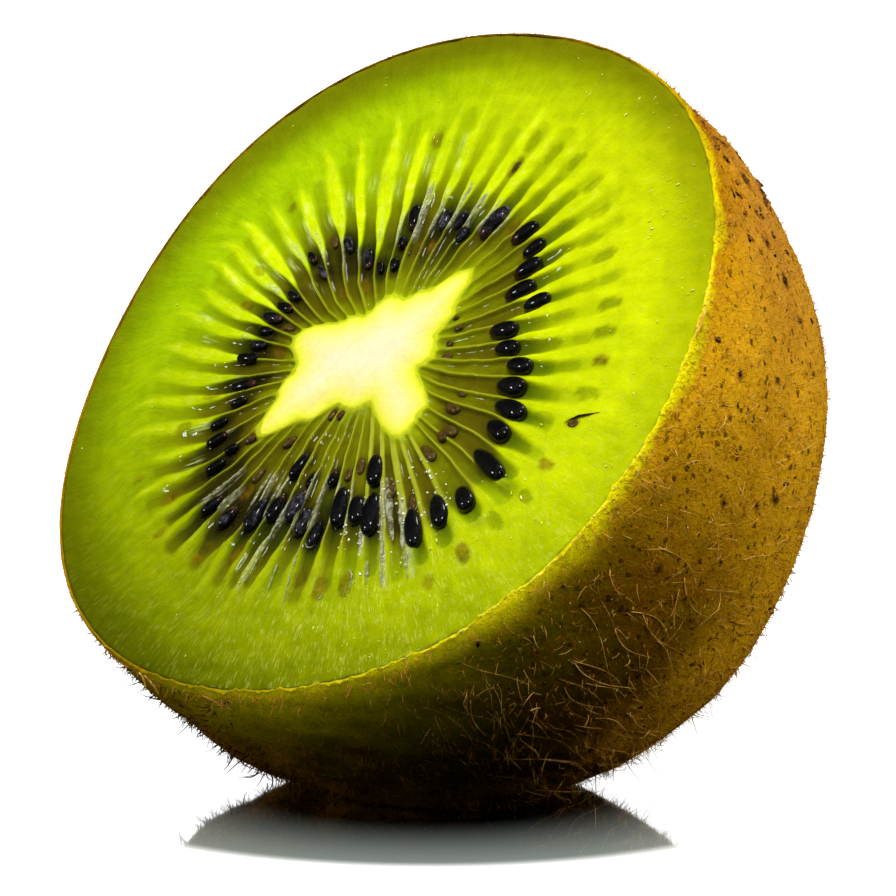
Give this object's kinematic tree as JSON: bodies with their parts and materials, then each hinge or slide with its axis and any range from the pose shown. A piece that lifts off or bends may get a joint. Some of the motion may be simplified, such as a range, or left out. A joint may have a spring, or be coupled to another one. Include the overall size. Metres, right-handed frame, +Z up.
{
  "type": "half kiwifruit",
  "caption": "Half of a kiwifruit, cut across and leaning back on its rounded brown skin, with green flesh, a pale star-shaped core and a ring of black seeds at the cut.",
  "frame": {"origin": "centre of the flat spot on the skin that the half rests on", "axes": "+Z up from the resting spot; the cut looks up and towards -Y at a slope of 52 degrees from level; +X runs level across the cut, to the right as seen from the front"},
  "size_m": [0.0537, 0.05, 0.0517],
  "materials": {
    "flesh": "moist green flesh at the cut, brown fuzzy skin outside, glossy black seeds",
    "skin": "thin brown skin with short fuzz and dark flecks",
    "seed": "wet black",
    "core": "moist cream core with a lemon edge"
  },
  "bodies": {
    "root": {"flesh": "flesh", "core": "core"}
  },
  "joints": []
}
